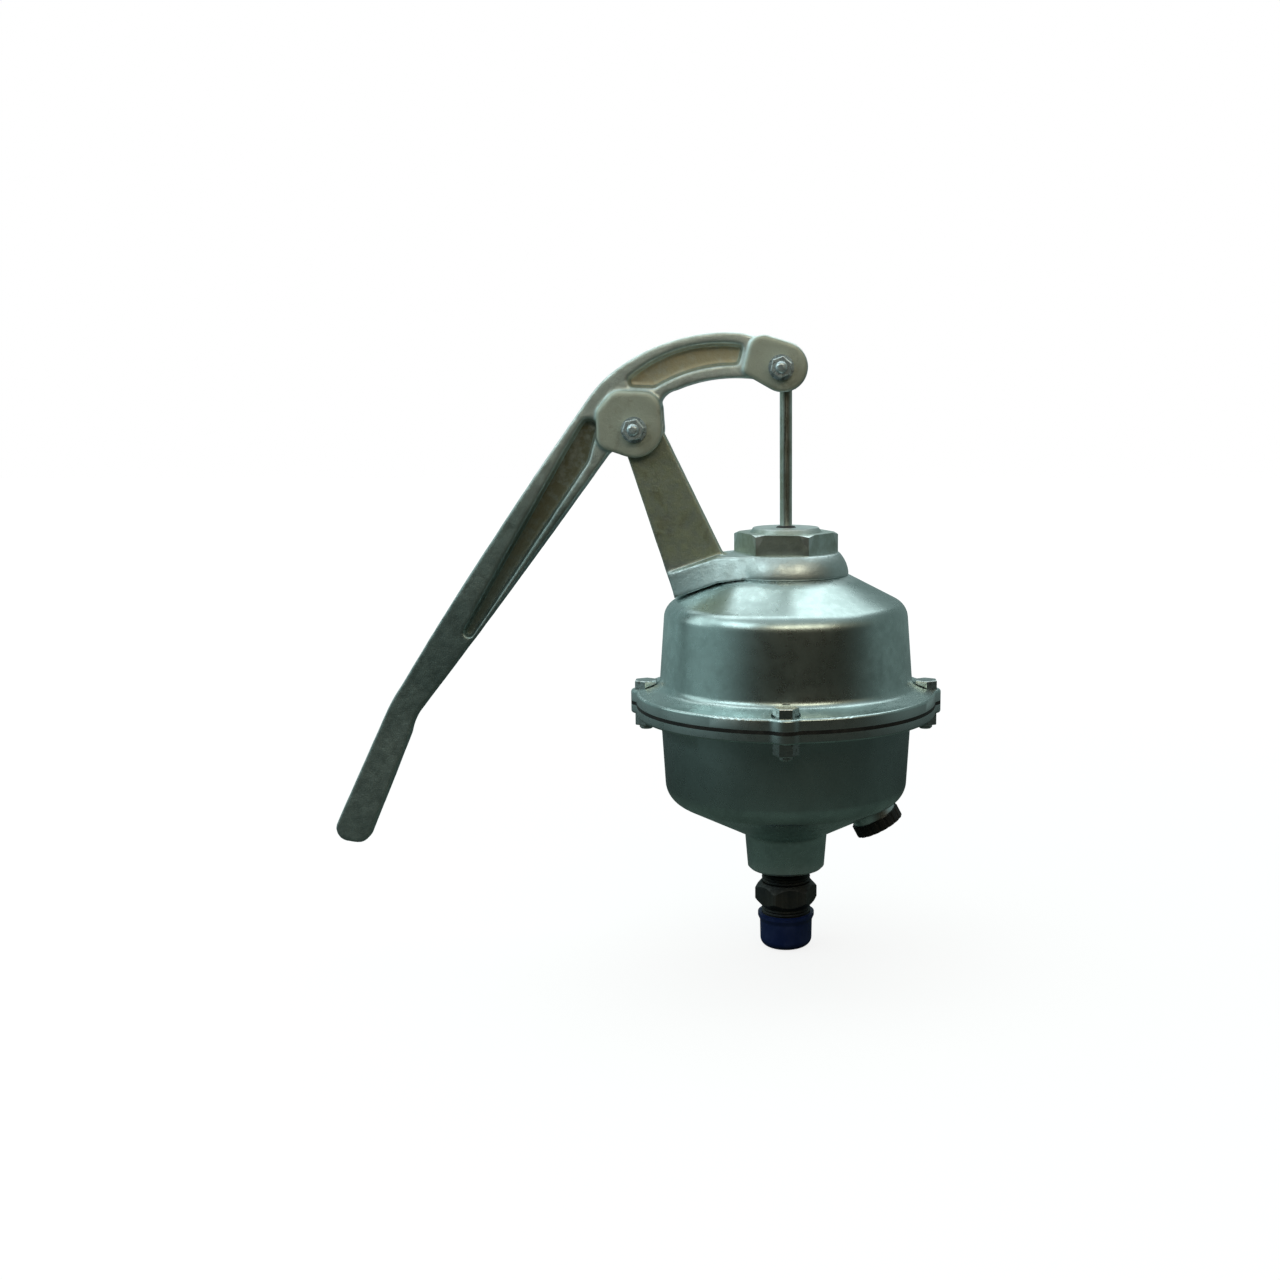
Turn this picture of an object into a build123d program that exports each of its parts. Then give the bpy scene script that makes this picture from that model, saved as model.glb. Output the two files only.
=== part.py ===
"""Hand-operated diaphragm priming pump: two cast bowls, a lever, a rod and two check valves.

Frame: +Z up along the pump's axis, the lever works in the XZ plane and its handle points to -X.
Origin: on the axis, at the lower end of the suction nipple. Units: millimetres.
"""

from math import cos, hypot, radians, sin, tan
import os

from build123d import *

# ---------------------------------------------------------------- driving dimensions

fit_gap = 0.3            # gap between castings of different moving bodies
running_gap = 0.07       # radial clearance of a pin or rod in its bore
thread_gap = 0.05        # radial gap between mating threads, drawn as plain cylinders

seam_z = 170.0           # middle of the joint between the two bowls
rubber_thickness = 2.4   # clamped rim of the diaphragm
cone_angle = 27.5        # slope of the bowls' end cones
wall = 5.0               # casting thickness

flange_r = 101.0
upper_flange = 7.5
lower_flange = 6.0
bolt_circle_r = 94.8
ear_r = 10.2
flange_bolt_count = 4
flange_bolt_r = 4.76     # 3/8 in bolt
flange_hex_flat = 7.15   # half of the hexagon's width across flats
flange_head_height = 6.2
flange_nut_height = 8.4

neck_top_r = 28.2
neck_bottom_r = 26.3
neck_bottom_z = 54.3

nipple_r = 16.7          # 1 in pipe thread
nipple_bore_r = 12.5
nipple_top_z = 70.0
nipple_hex = (27.5, 44.0)
nipple_hex_flat = 19.0
nipple_hex_corner = 21.4
thread_pitch = 2.21
thread_depth = 0.9

rod_r = 4.1
fulcrum = (-99.0, 353.0)
rod_pin = (-3.0, 393.0)
pin_r = 3.97             # 5/16 in pivot bolts
pin_hex_flat = 6.35
pin_nut_height = 6.7
pin_washer_r = 8.4
pin_washer_thickness = 1.6

section_thickness = 22.0   # lever's I section
web_thickness = 8.0
grip_thickness = 12.0
boss_thickness = 30.0      # lever at the fulcrum
fork_thickness = 27.0      # lever at the rod
arm_thickness = 14.4       # bracket arm inside the fulcrum fork
arm_slot = arm_thickness + 2 * fit_gap
eye_thickness = 10.0       # rod's eye inside the rod fork
eye_slot = eye_thickness + 2 * fit_gap

collar_bottom_z = 256.6
collar_top_z = 272.0
collar_bore_r = 22.3
gland_hex_flat = 30.2
gland_hex_height = 13.2
gland_spigot_r = 22.0

plate_r = 42.0
plate_thickness = 2.5
dome_rise = 35.5           # centre of the diaphragm above the seam, with the handle down

outlet_r = 58.3            # where the outlet's axis leaves the lower cone
outlet_boss_height = 5.6
outlet_disc_r = 17.0
outlet_disc_thickness = 7.6
outlet_lift = 3.0

cap_wall = 1.2

inlet_lift = 5.0
inlet_seat_z = 88.0        # top of the inlet valve's seat

# ---------------------------------------------------------------- derived places

upper_seat_z = seam_z + rubber_thickness / 2
lower_seat_z = seam_z - rubber_thickness / 2
upper_flange_top = upper_seat_z + upper_flange
lower_flange_bottom = lower_seat_z - lower_flange
cone_slope = tan(radians(cone_angle))
inner_drop = wall / cos(radians(cone_angle))
lower_cone_z = 64.6        # where the lower cone's slope would meet the axis
upper_cone_z = collar_bottom_z + 42.0 * cone_slope
dome_z = seam_z + dome_rise
outlet_point = (outlet_r, 0, lower_cone_z + outlet_r * cone_slope)
outlet_axis = (sin(radians(cone_angle)), 0, -cos(radians(cone_angle)))
outlet_plane = Plane(origin=outlet_point, x_dir=(0, 1, 0), z_dir=outlet_axis)

os.makedirs("parts", exist_ok=True)


def save(builder, label):
    """Label a finished piece and write it to its own file."""
    builder.part.label = label
    export_step(builder.part, f"parts/{label}.step")


def lower_cone(r):
    return lower_cone_z + r * cone_slope


def upper_cone(r):
    return upper_cone_z - r * cone_slope


def thread_points(r, z_start, z_end):
    """Zigzag outline of a screw thread, drawn as rings, from z_start to z_end."""
    turns = int((z_end - z_start) / thread_pitch)
    points = []
    for turn in range(turns):
        z = z_start + turn * thread_pitch
        points.append((r - thread_depth, z))
        points.append((r, z + 0.4 * thread_pitch))
        points.append((r, z + 0.6 * thread_pitch))
    points.append((r - thread_depth, z_start + turns * thread_pitch))
    return points


def flange_outline(plane, hole_r):
    """Round flange with an ear at each bolt, and the bolt holes."""
    with BuildSketch(plane) as outline:
        Circle(flange_r)
        with PolarLocations(bolt_circle_r, flange_bolt_count):
            Circle(ear_r)
        inner_corners = outline.vertices()
        fillet(inner_corners, radius=8)
        with PolarLocations(bolt_circle_r, flange_bolt_count):
            Circle(hole_r, mode=Mode.SUBTRACT)
    return outline.sketch


def outline_edges(bowl, z):
    """Edges of a bowl's flange at height z, along its outer outline."""
    return bowl.edges().filter_by(
        lambda e: abs((e @ 0.5).Z - z) < 0.01 and hypot((e @ 0.5).X, (e @ 0.5).Y) > flange_r - 0.5)


# ---------------------------------------------------------------- lower bowl and neck

with BuildPart() as lower_bowl:
    with BuildSketch(Plane.XZ):
        with BuildLine():
            Polyline(
                (16.8, neck_bottom_z),
                (neck_bottom_r - 1.5, neck_bottom_z),
                (neck_bottom_r, neck_bottom_z + 1.5),
                (neck_top_r, lower_cone(neck_top_r)),
                (81.6, lower_cone(81.6)),
                (84.8, lower_flange_bottom),
                (90.0, lower_flange_bottom),
                (90.0, lower_seat_z),
                (80.2, lower_seat_z),
                (76.8, lower_cone(76.8) + inner_drop),
                (24.0, lower_cone(24.0) + inner_drop),
                (15.0, lower_cone(24.0) + inner_drop),
                (15.0, 74.0),
                (16.8, 74.0),
                close=True,
            )
        make_face()
    revolve(axis=Axis.Z)
    rims = lower_bowl.edges().filter_by(GeomType.CIRCLE)
    outer_corner = rims.filter_by(lambda e: abs(e.radius - 81.6) < 0.01)
    inner_corner = rims.filter_by(lambda e: abs(e.radius - 76.8) < 0.01)
    neck_corner = rims.filter_by(lambda e: abs(e.radius - neck_top_r) < 0.01)
    fillet(outer_corner, radius=15)
    fillet(inner_corner, radius=10)
    fillet(neck_corner, radius=4)
    with BuildSketch(Plane.XY.offset(lower_flange_bottom)):
        add(flange_outline(Plane.XY, flange_bolt_r + 0.4))
        Circle(84.0, mode=Mode.SUBTRACT)
    extrude(amount=lower_flange)
    fillet(outline_edges(lower_bowl, lower_flange_bottom), radius=1.4)
    flange_root = lower_bowl.edges().filter_by(GeomType.CIRCLE).filter_by(
        lambda e: abs(e.radius - 84.8) < 0.01)
    fillet(flange_root, radius=2.5)
    with BuildSketch(outlet_plane.offset(-wall)):
        Circle(15.4)
    extrude(amount=wall + outlet_boss_height)
    with BuildSketch(outlet_plane.offset(-wall - 2)):
        with PolarLocations(9.3, 6):
            Circle(2.6)
        Circle(2.5)
    extrude(amount=wall + outlet_boss_height + 4, mode=Mode.SUBTRACT)
save(lower_bowl, "lower_bowl")

# ---------------------------------------------------------------- upper bowl

with BuildPart() as upper_bowl:
    with BuildSketch(Plane.XZ):
        with BuildLine():
            Polyline(
                (80.2, upper_seat_z),
                (99.0, upper_seat_z),
                (99.0, upper_flange_top),
                (85.4, upper_flange_top + 3.8),
                (81.4, upper_cone(81.4)),
                (42.0, collar_bottom_z),
                (gland_spigot_r + thread_gap, collar_bottom_z),
                (gland_spigot_r + thread_gap, 240.0),
                (28.0, 240.0),
                (28.0, upper_cone(44.0) - inner_drop),
                (44.0, upper_cone(44.0) - inner_drop),
                (76.6, upper_cone(76.6) - inner_drop),
                close=True,
            )
        make_face()
    revolve(axis=Axis.Z)
    rims = upper_bowl.edges().filter_by(GeomType.CIRCLE)
    shoulder = rims.filter_by(lambda e: abs(e.radius - 81.4) < 0.01)
    inner_shoulder = rims.filter_by(lambda e: abs(e.radius - 76.6) < 0.01)
    root = rims.filter_by(lambda e: abs(e.radius - 85.4) < 0.01)
    fillet(shoulder, radius=13)
    fillet(inner_shoulder, radius=8)
    fillet(root, radius=6)
    with BuildSketch(Plane.XY.offset(upper_seat_z)):
        add(flange_outline(Plane.XY, flange_bolt_r + 0.4))
        Circle(98.0, mode=Mode.SUBTRACT)
    extrude(amount=upper_flange)
    fillet(outline_edges(upper_bowl, upper_flange_top), radius=1.8)
    with BuildSketch(Plane.XY.offset(upper_flange_top)):
        with PolarLocations(bolt_circle_r, flange_bolt_count):
            Circle(9.2)
    extrude(amount=12, mode=Mode.SUBTRACT)
    with BuildSketch(Plane.XY.offset(upper_seat_z)):
        with PolarLocations(bolt_circle_r, flange_bolt_count):
            Circle(flange_bolt_r + 0.4)
    extrude(amount=upper_flange + 1, mode=Mode.SUBTRACT)
save(upper_bowl, "upper_bowl")

# ---------------------------------------------------------------- diaphragm between the bowls

with BuildPart() as diaphragm:
    with BuildSketch(Plane.XZ):
        with BuildLine():
            rim_r = 79.9
            inner_r = plate_r - 1.0
            low_edge = lower_seat_z + 0.05
            high_edge = upper_seat_z - 0.05
            Polyline(
                (8.4, dome_z - 1.1),
                (inner_r, dome_z - 1.1),
                (inner_r + 3.0, dome_z - 2.2),
                (rim_r - 3.2, low_edge + 1.8),
                (rim_r + 1.0, low_edge),
                (98.0, low_edge),
                (98.0, high_edge),
                (rim_r, high_edge),
                (rim_r - 2.2, high_edge + 1.6),
                (inner_r + 4.8, dome_z - 0.6),
                (inner_r + 1.0, dome_z + 1.1),
                (8.4, dome_z + 1.1),
                close=True,
            )
        make_face()
    revolve(axis=Axis.Z)
    with BuildSketch(Plane.XY.offset(lower_seat_z + 0.05)):
        add(flange_outline(Plane.XY, flange_bolt_r + 0.4))
        Circle(97.0, mode=Mode.SUBTRACT)
    extrude(amount=rubber_thickness - 0.1)
    with BuildSketch(Plane.XY.offset(lower_seat_z)):
        with PolarLocations(bolt_circle_r, flange_bolt_count):
            Circle(flange_bolt_r + 0.4)
    extrude(amount=rubber_thickness, mode=Mode.SUBTRACT)
save(diaphragm, "diaphragm")

# ---------------------------------------------------------------- flange bolts and nuts

with BuildPart() as flange_bolts:
    with BuildSketch(Plane.XY.offset(upper_flange_top)):
        with PolarLocations(bolt_circle_r, flange_bolt_count):
            RegularPolygon(flange_hex_flat, 6, major_radius=False, rotation=30)
    extrude(amount=flange_head_height)
    head_tops = flange_bolts.faces().filter_by(Axis.Z).group_by(Axis.Z)[-1]
    fillet(head_tops.edges(), radius=0.7)
    with BuildSketch(Plane.XY.offset(upper_flange_top)):
        with PolarLocations(bolt_circle_r, flange_bolt_count):
            Circle(flange_bolt_r)
    extrude(amount=-27.2)
    shank_ends = flange_bolts.faces().filter_by(Axis.Z).group_by(Axis.Z)[0]
    chamfer(shank_ends.edges(), length=1.0)
save(flange_bolts, "flange_bolts")

with BuildPart() as flange_nuts:
    with BuildSketch(Plane.XY.offset(lower_flange_bottom)):
        with PolarLocations(bolt_circle_r, flange_bolt_count):
            RegularPolygon(flange_hex_flat, 6, major_radius=False, rotation=30)
            Circle(flange_bolt_r + thread_gap, mode=Mode.SUBTRACT)
    extrude(amount=-flange_nut_height)
    nut_bottoms = flange_nuts.faces().filter_by(Axis.Z).group_by(Axis.Z)[0]
    outer_edges = nut_bottoms.edges().filter_by(GeomType.LINE)
    fillet(outer_edges, radius=0.7)
save(flange_nuts, "flange_nuts")

# ---------------------------------------------------------------- bracket: collar, foot and arm

arm_right_top = (-73.9, 336.7)
arm_right_bottom = (-42.9, 272.2)
arm_root_middle = (-41.6, 270.9)
arm_root_end = (-40.0, 270.5)
arm_left_top = (-104.9, 337.0)
foot_end_low = (-74.2, 241.4)
foot_end_high = (-78.4, 258.0)
foot_clearance = 0.4       # foot's underside above the bowl's cone

with BuildPart() as lever_bracket:
    with BuildSketch(Plane.XZ):
        with BuildLine():
            Line((collar_bore_r, collar_bottom_z), (42.0, collar_bottom_z))
            ThreePointArc((42.0, collar_bottom_z), (39.6, 266.2), (35.4, collar_top_z))
            Line((35.4, collar_top_z), (collar_bore_r, collar_top_z))
            Line((collar_bore_r, collar_top_z), (collar_bore_r, collar_bottom_z))
        make_face()
    revolve(axis=Axis.Z)
    foot_lean = Vector(foot_end_high[0] - foot_end_low[0], 0, foot_end_high[1] - foot_end_low[1])
    for foot_x, foot_z, lean, low_half, high_half in (
        (-20.0, collar_bottom_z + 0.6, Vector(0, 0, 14.6), 37.0, 31.0),
        (-45.0, 253.4, Vector(0, 0, 16.6), 25.0, 19.5),
        (*foot_end_low, foot_lean, 10.5, 8.2),
    ):
        section_plane = Plane(origin=(foot_x, 0, foot_z), x_dir=(0, -1, 0),
                              z_dir=(-lean.Z, 0, lean.X))
        with BuildSketch(section_plane):
            Polygon(
                (-low_half, 0),
                (low_half, 0),
                (high_half, lean.length),
                (-high_half, lean.length),
                align=None,
            )
    loft(ruled=True)
    with BuildSketch(Plane.XZ):
        with BuildLine():
            Polyline(arm_right_bottom, arm_right_top, (fulcrum[0] + 13.9, fulcrum[1] + 6.8),
                     (fulcrum[0] - 9.0, fulcrum[1] + 8.0), arm_left_top, foot_end_low,
                     (-50.0, 254.5), (-36.0, 262.0), arm_root_end)
            ThreePointArc(arm_root_end, arm_root_middle, arm_right_bottom)
        make_face()
        with Locations(fulcrum):
            Circle(15.5)
    extrude(amount=arm_thickness / 2, both=True)
    with BuildSketch(Plane.XZ):
        with Locations(fulcrum):
            Circle(pin_r + running_gap)
    extrude(amount=arm_thickness, both=True, mode=Mode.SUBTRACT)
    with BuildSketch(Plane.XY.offset(collar_bottom_z - 1)):
        Circle(collar_bore_r)
    extrude(amount=20, mode=Mode.SUBTRACT)
    with BuildSketch(Plane.XZ):
        with BuildLine():
            Polyline(
                (0, collar_bottom_z),
                (41.0, collar_bottom_z),
                (42.0, collar_bottom_z + foot_clearance),
                (90.0, upper_cone(90.0) + foot_clearance),
                (90.0, 200.0),
                (0, 200.0),
                close=True,
            )
        make_face()
    revolve(axis=Axis.Z, mode=Mode.SUBTRACT)
save(lever_bracket, "lever_bracket")

# ---------------------------------------------------------------- gland nut, rod guide and wiper

with BuildPart() as gland_nut:
    with BuildSketch(Plane.XY.offset(collar_top_z)):
        RegularPolygon(gland_hex_flat, 6, major_radius=False, rotation=-4.6)
    extrude(amount=gland_hex_height)
    with BuildSketch(Plane.XZ):
        with BuildLine():
            Polyline(
                (0, collar_top_z),
                (36.0, collar_top_z),
                (36.0, collar_top_z + gland_hex_height - 1.8),
                (32.2, collar_top_z + gland_hex_height),
                (0, collar_top_z + gland_hex_height),
                close=True,
            )
        make_face()
    revolve(axis=Axis.Z, mode=Mode.INTERSECT)
    with BuildSketch(Plane.XY.offset(collar_top_z + gland_hex_height)):
        Circle(24.0)
    extrude(amount=3.0, taper=35)
    with BuildSketch(Plane.XY.offset(collar_top_z)):
        Circle(gland_spigot_r)
    extrude(amount=-29.0)
    with BuildSketch(Plane.XY.offset(collar_top_z - 30)):
        Circle(7.0)
    extrude(amount=60, mode=Mode.SUBTRACT)
save(gland_nut, "gland_nut")

guide_bottom_z = 244.0
guide_top_z = 283.4
with BuildPart() as rod_guide:
    with BuildSketch(Plane.XY.offset(guide_bottom_z)):
        Circle(7.0 - 0.02)
        Circle(rod_r + running_gap, mode=Mode.SUBTRACT)
    extrude(amount=guide_top_z - guide_bottom_z)
save(rod_guide, "rod_guide")

with BuildPart() as rod_wiper:
    with BuildSketch(Plane.XZ):
        with BuildLine():
            Polyline(
                (rod_r + 0.1, guide_top_z),
                (6.9, guide_top_z),
                (6.9, guide_top_z + 4.2),
                (6.0, guide_top_z + 5.4),
                (rod_r + 0.1, guide_top_z + 6.0),
                close=True,
            )
        make_face()
    revolve(axis=Axis.Z)
save(rod_wiper, "rod_wiper")

# ---------------------------------------------------------------- suction nipple and its cap

with BuildPart() as hex_nipple:
    with BuildSketch(Plane.XY.offset(nipple_hex[0])):
        RegularPolygon(nipple_hex_flat, 6, major_radius=False, rotation=8)
    extrude(amount=nipple_hex[1] - nipple_hex[0])
    with BuildSketch(Plane.XZ):
        with BuildLine():
            Polyline(
                (0, nipple_hex[0]),
                (nipple_r + 0.6, nipple_hex[0]),
                (nipple_hex_corner, nipple_hex[0] + 4.6),
                (nipple_hex_corner, nipple_hex[1] - 4.6),
                (nipple_r + 0.6, nipple_hex[1]),
                (0, nipple_hex[1]),
                close=True,
            )
        make_face()
    revolve(axis=Axis.Z, mode=Mode.INTERSECT)
    lower_thread = thread_points(nipple_r, 2.0, nipple_hex[0])
    upper_thread = thread_points(nipple_r, nipple_hex[1], nipple_top_z)
    with BuildSketch(Plane.XZ):
        with BuildLine():
            Polyline((nipple_bore_r, 0.0), (14.2, 0.0), *lower_thread, *upper_thread,
                     (nipple_bore_r, nipple_top_z), close=True)
        make_face()
    revolve(axis=Axis.Z)
    with BuildSketch(Plane.XY):
        Circle(nipple_bore_r)
    extrude(amount=nipple_top_z, mode=Mode.SUBTRACT)
save(hex_nipple, "hex_nipple")

cap_inner_r = nipple_r + 0.15
with BuildPart() as thread_cap:
    with BuildSketch(Plane.XZ):
        with BuildLine():
            Line((0, -2.0), (11.5, -2.0))
            ThreePointArc((11.5, -2.0), (16.2, -0.2), (17.8, 4.2))
            Polyline(
                (17.8, 4.2),
                (cap_inner_r + cap_wall, 16.5),
                (19.4, 19.6),
                (19.4, 22.0),
                (cap_inner_r, 22.0),
                (cap_inner_r, 2.2),
                (14.5, -0.15),
                (0, -0.15),
                (0, -2.0),
            )
        make_face()
    revolve(axis=Axis.Z)
save(thread_cap, "thread_cap")

# ---------------------------------------------------------------- lever

lever_along = Vector(-0.567, 0, -0.824)      # from the fulcrum end down to the grip
taper_start = (-206.0, 234.0)
taper_length = 66.0
taper_plane = Plane(origin=(taper_start[0], 0, taper_start[1]), x_dir=lever_along,
                    z_dir=lever_along.cross(Vector(0, 1, 0)))

with BuildPart() as lever:
    with BuildSketch(Plane.XZ):
        with BuildLine():
            Line((-307.0, 86.5), (-272.0, 160.2))
            ThreePointArc((-272.0, 160.2), (-266.5, 171.0), (-259.5, 181.8))
            ThreePointArc((-259.5, 181.8), (-203.5, 267.4), (-128.5, 374.5))
            ThreePointArc((-128.5, 374.5), (-119.8, 384.4), (-110.5, 392.0))
            ThreePointArc((-110.5, 392.0), (-74.0, 410.2), (-30.0, 415.4))
            Polyline((-30.0, 415.4), (-20.0, 413.0), (-14.0, 404.0), (-16.0, 390.0), (-19.0, 385.4))
            ThreePointArc((-19.0, 385.4), (-45.0, 385.6), (-72.0, 378.4))
            ThreePointArc((-72.0, 378.4), (-80.0, 374.0), (-83.2, 366.0))
            Polyline((-83.2, 366.0), (-90.0, 345.0), (-112.0, 341.5), (-118.0, 336.0))
            ThreePointArc((-118.0, 336.0), (-181.5, 250.6), (-249.5, 162.0))
            ThreePointArc((-249.5, 162.0), (-252.6, 156.0), (-255.0, 148.0))
            Line((-255.0, 148.0), (-285.2, 77.2))
            ThreePointArc((-285.2, 77.2), (-288.9, 73.2), (-294.2, 72.2))
            Line((-294.2, 72.2), (-300.5, 73.2))
            ThreePointArc((-300.5, 73.2), (-307.0, 77.8), (-307.0, 86.5))
        make_face()
    extrude(amount=section_thickness / 2, both=True)
    with BuildSketch(taper_plane):
        for side in (-1, 1):
            Polygon(
                (0, side * section_thickness / 2),
                (taper_length, side * grip_thickness / 2),
                (240, side * grip_thickness / 2),
                (240, side * section_thickness),
                (0, side * section_thickness),
                align=None,
            )
    extrude(amount=90, both=True, mode=Mode.SUBTRACT)
    for side in (-1, 1):
        with BuildSketch(Plane.XZ.offset(side * web_thickness / 2)):
            with BuildLine():
                Line((-101.0, 381.8), (-86.0, 381.3))
                ThreePointArc((-86.0, 381.3), (-60.0, 392.6), (-32.0, 396.2))
                Line((-32.0, 396.2), (-29.2, 406.2))
                ThreePointArc((-29.2, 406.2), (-70.0, 402.9), (-102.0, 385.2))
                Line((-102.0, 385.2), (-101.0, 381.8))
            make_face()
            fillet(vertices(), radius=1.4)
        extrude(amount=side * 12, taper=-14, mode=Mode.SUBTRACT)
        with BuildSketch(Plane.XZ.offset(side * web_thickness / 2)):
            with Locations((-129.3, 354.3)):
                Circle(4.4)
            with Locations((-137.5, 336.0)):
                Circle(7.2)
            with Locations((-212.0, 218.5)):
                Circle(2.2)
            make_hull()
        extrude(amount=side * 12, taper=-14, mode=Mode.SUBTRACT)
    with BuildSketch(Plane.XZ.offset(-boss_thickness / 2)):
        with Locations(fulcrum):
            Circle(18.3)
        with Locations((-93.0, 366.0)):
            Circle(11.6)
        with Locations((-108.0, 368.0)):
            Circle(10)
        with Locations((-114.8, 361.5), (-114.6, 348.6)):
            Circle(9.2)
        make_hull()
    extrude(amount=boss_thickness)
    with BuildSketch(Plane.XZ.offset(-fork_thickness / 2)):
        with Locations((rod_pin[0] + 1.0, rod_pin[1] + 0.5)):
            Circle(16.5)
        with Locations((-14.5, 404.3)):
            Circle(9.8)
        with Locations((-24.5, 391.5)):
            Circle(3.5)
        make_hull()
    extrude(amount=fork_thickness)
    with BuildSketch(Plane.XZ):
        with Locations(fulcrum):
            Circle(17.5)
            Rectangle(57.5, 55, align=(Align.MIN, Align.MAX))
        with Locations((fulcrum[0] - 17.5, fulcrum[1] + 15)):
            Rectangle(75, 55, align=(Align.MIN, Align.MAX))
    extrude(amount=arm_slot / 2, both=True, mode=Mode.SUBTRACT)
    with BuildSketch(Plane.XZ):
        with Locations((rod_pin[0] - 20.5, rod_pin[1])):
            Rectangle(60, 70, align=(Align.MIN, Align.CENTER))
    extrude(amount=eye_slot / 2, both=True, mode=Mode.SUBTRACT)
    for face_y in (boss_thickness / 2, fork_thickness / 2):
        cheek_edges = lever.edges().filter_by(lambda e: abs(abs(e.center().Y) - face_y) < 0.01)
        fillet(cheek_edges, radius=2)
    with BuildSketch(Plane.XZ):
        with Locations(fulcrum, rod_pin):
            Circle(pin_r + 0.1)
    extrude(amount=boss_thickness, both=True, mode=Mode.SUBTRACT)
save(lever, "lever")

# ---------------------------------------------------------------- pivot bolts, nuts and washers


def pivot_bolt(label, centre, cheek_thickness):
    """Bolt through a fork: head behind it, plain end in front of it."""
    half = cheek_thickness / 2
    with BuildPart() as bolt:
        with BuildSketch(Plane.XZ.offset(-half - pin_washer_thickness)):
            with Locations(centre):
                RegularPolygon(pin_hex_flat, 6, major_radius=False)
        extrude(amount=-5.2)
        head_face = bolt.faces().sort_by(Axis.Y)[-1]
        fillet(head_face.edges(), radius=0.6)
        with BuildSketch(Plane.XZ.offset(-half - pin_washer_thickness)):
            with Locations(centre):
                Circle(pin_r)
        extrude(amount=cheek_thickness + 2 * pin_washer_thickness + pin_nut_height + 2.6)
        free_end = bolt.faces().sort_by(Axis.Y)[0]
        fillet(free_end.edges(), radius=2.6)
    save(bolt, f"{label}_bolt")


def pivot_nut(label, centre, cheek_thickness, turn):
    with BuildPart() as nut:
        with BuildSketch(Plane.XZ.offset(cheek_thickness / 2 + pin_washer_thickness)):
            with Locations(centre):
                RegularPolygon(pin_hex_flat, 6, major_radius=False, rotation=turn)
                Circle(pin_r + thread_gap, mode=Mode.SUBTRACT)
        extrude(amount=pin_nut_height)
        outer_face = nut.faces().sort_by(Axis.Y)[0]
        fillet(outer_face.edges().filter_by(GeomType.LINE), radius=0.6)
    save(nut, f"{label}_nut")


def pivot_washers(label, centre, cheek_thickness):
    """Two washers in one node, one on each side of the fork."""
    half = cheek_thickness / 2
    with BuildPart() as washers:
        for start in (half, -half - pin_washer_thickness):
            with BuildSketch(Plane.XZ.offset(start)):
                with Locations(centre):
                    Circle(pin_washer_r)
                    Circle(pin_r + 0.2, mode=Mode.SUBTRACT)
            extrude(amount=pin_washer_thickness)
    save(washers, f"{label}_washers")


for pivot_name, pivot_centre, pivot_cheeks, pivot_turn in (
    ("fulcrum", fulcrum, boss_thickness, 10),
    ("rod_pin", rod_pin, fork_thickness, 20),
):
    pivot_bolt(pivot_name, pivot_centre, pivot_cheeks)
    pivot_nut(pivot_name, pivot_centre, pivot_cheeks, pivot_turn)
    pivot_washers(pivot_name, pivot_centre, pivot_cheeks)

# ---------------------------------------------------------------- rod and diaphragm plates

# The pin moves on an arc while the rod runs straight, so the rod's eye is slotted sideways.
pin_reach = ((rod_pin[0] - fulcrum[0]) ** 2 + (rod_pin[1] - fulcrum[1]) ** 2) ** 0.5
pin_far_x = fulcrum[0] + pin_reach
slot_middle_x = (rod_pin[0] + pin_far_x) / 2
slot_travel = pin_far_x - rod_pin[0] + 1.0
slot_half_height = pin_r + 0.45
slot_z = rod_pin[1] + 0.2
plate_gap = 0.3
upper_plate_z = dome_z + 1.1 + plate_gap
lower_plate_z = dome_z - 1.1 - plate_gap - plate_thickness
rod_bottom_z = lower_plate_z - 12.0

with BuildPart() as piston_rod:
    with BuildSketch(Plane.XZ):
        with Locations((slot_middle_x, slot_z)):
            SlotCenterToCenter(slot_travel, 2 * slot_half_height + 9.0)
            Rectangle(2 * rod_r + 3, 14, align=(Align.CENTER, Align.MAX))
    extrude(amount=eye_thickness / 2, both=True)
    with BuildSketch(Plane.XZ):
        with Locations((slot_middle_x, slot_z)):
            SlotCenterToCenter(slot_travel, 2 * slot_half_height)
    extrude(amount=eye_thickness, both=True, mode=Mode.SUBTRACT)
    with BuildSketch(Plane.XY.offset(rod_bottom_z)):
        Circle(rod_r)
    extrude(amount=slot_z - slot_half_height - 1.0 - rod_bottom_z)
save(piston_rod, "piston_rod")

for plate_name, plate_z, lip in (
    ("upper_diaphragm_plate", upper_plate_z, 1.2),
    ("lower_diaphragm_plate", lower_plate_z, -1.2),
):
    with BuildPart() as plate:
        with BuildSketch(Plane.XY.offset(plate_z)):
            Circle(plate_r - 3)
            Circle(rod_r + thread_gap, mode=Mode.SUBTRACT)
        extrude(amount=plate_thickness)
        face_z = plate_z + plate_thickness if lip > 0 else plate_z
        with BuildSketch(Plane.XY.offset(face_z)):
            Circle(13)
            Circle(rod_r + thread_gap, mode=Mode.SUBTRACT)
        extrude(amount=lip)
        chamfer(plate.edges().filter_by(lambda e: e.geom_type == GeomType.CIRCLE
                                        and abs(e.radius - plate_r + 3) < 0.01), length=0.8)
    save(plate, plate_name)

for nut_name, nut_z in (
    ("upper_rod_nut", upper_plate_z + plate_thickness + 1.2),
    ("lower_rod_nut", lower_plate_z - 1.2 - pin_nut_height),
):
    with BuildPart() as rod_nut:
        with BuildSketch(Plane.XY.offset(nut_z)):
            RegularPolygon(pin_hex_flat + 0.8, 6, major_radius=False)
            Circle(rod_r + thread_gap, mode=Mode.SUBTRACT)
        extrude(amount=pin_nut_height)
    save(rod_nut, nut_name)

# ---------------------------------------------------------------- inlet check valve in the neck

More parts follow.
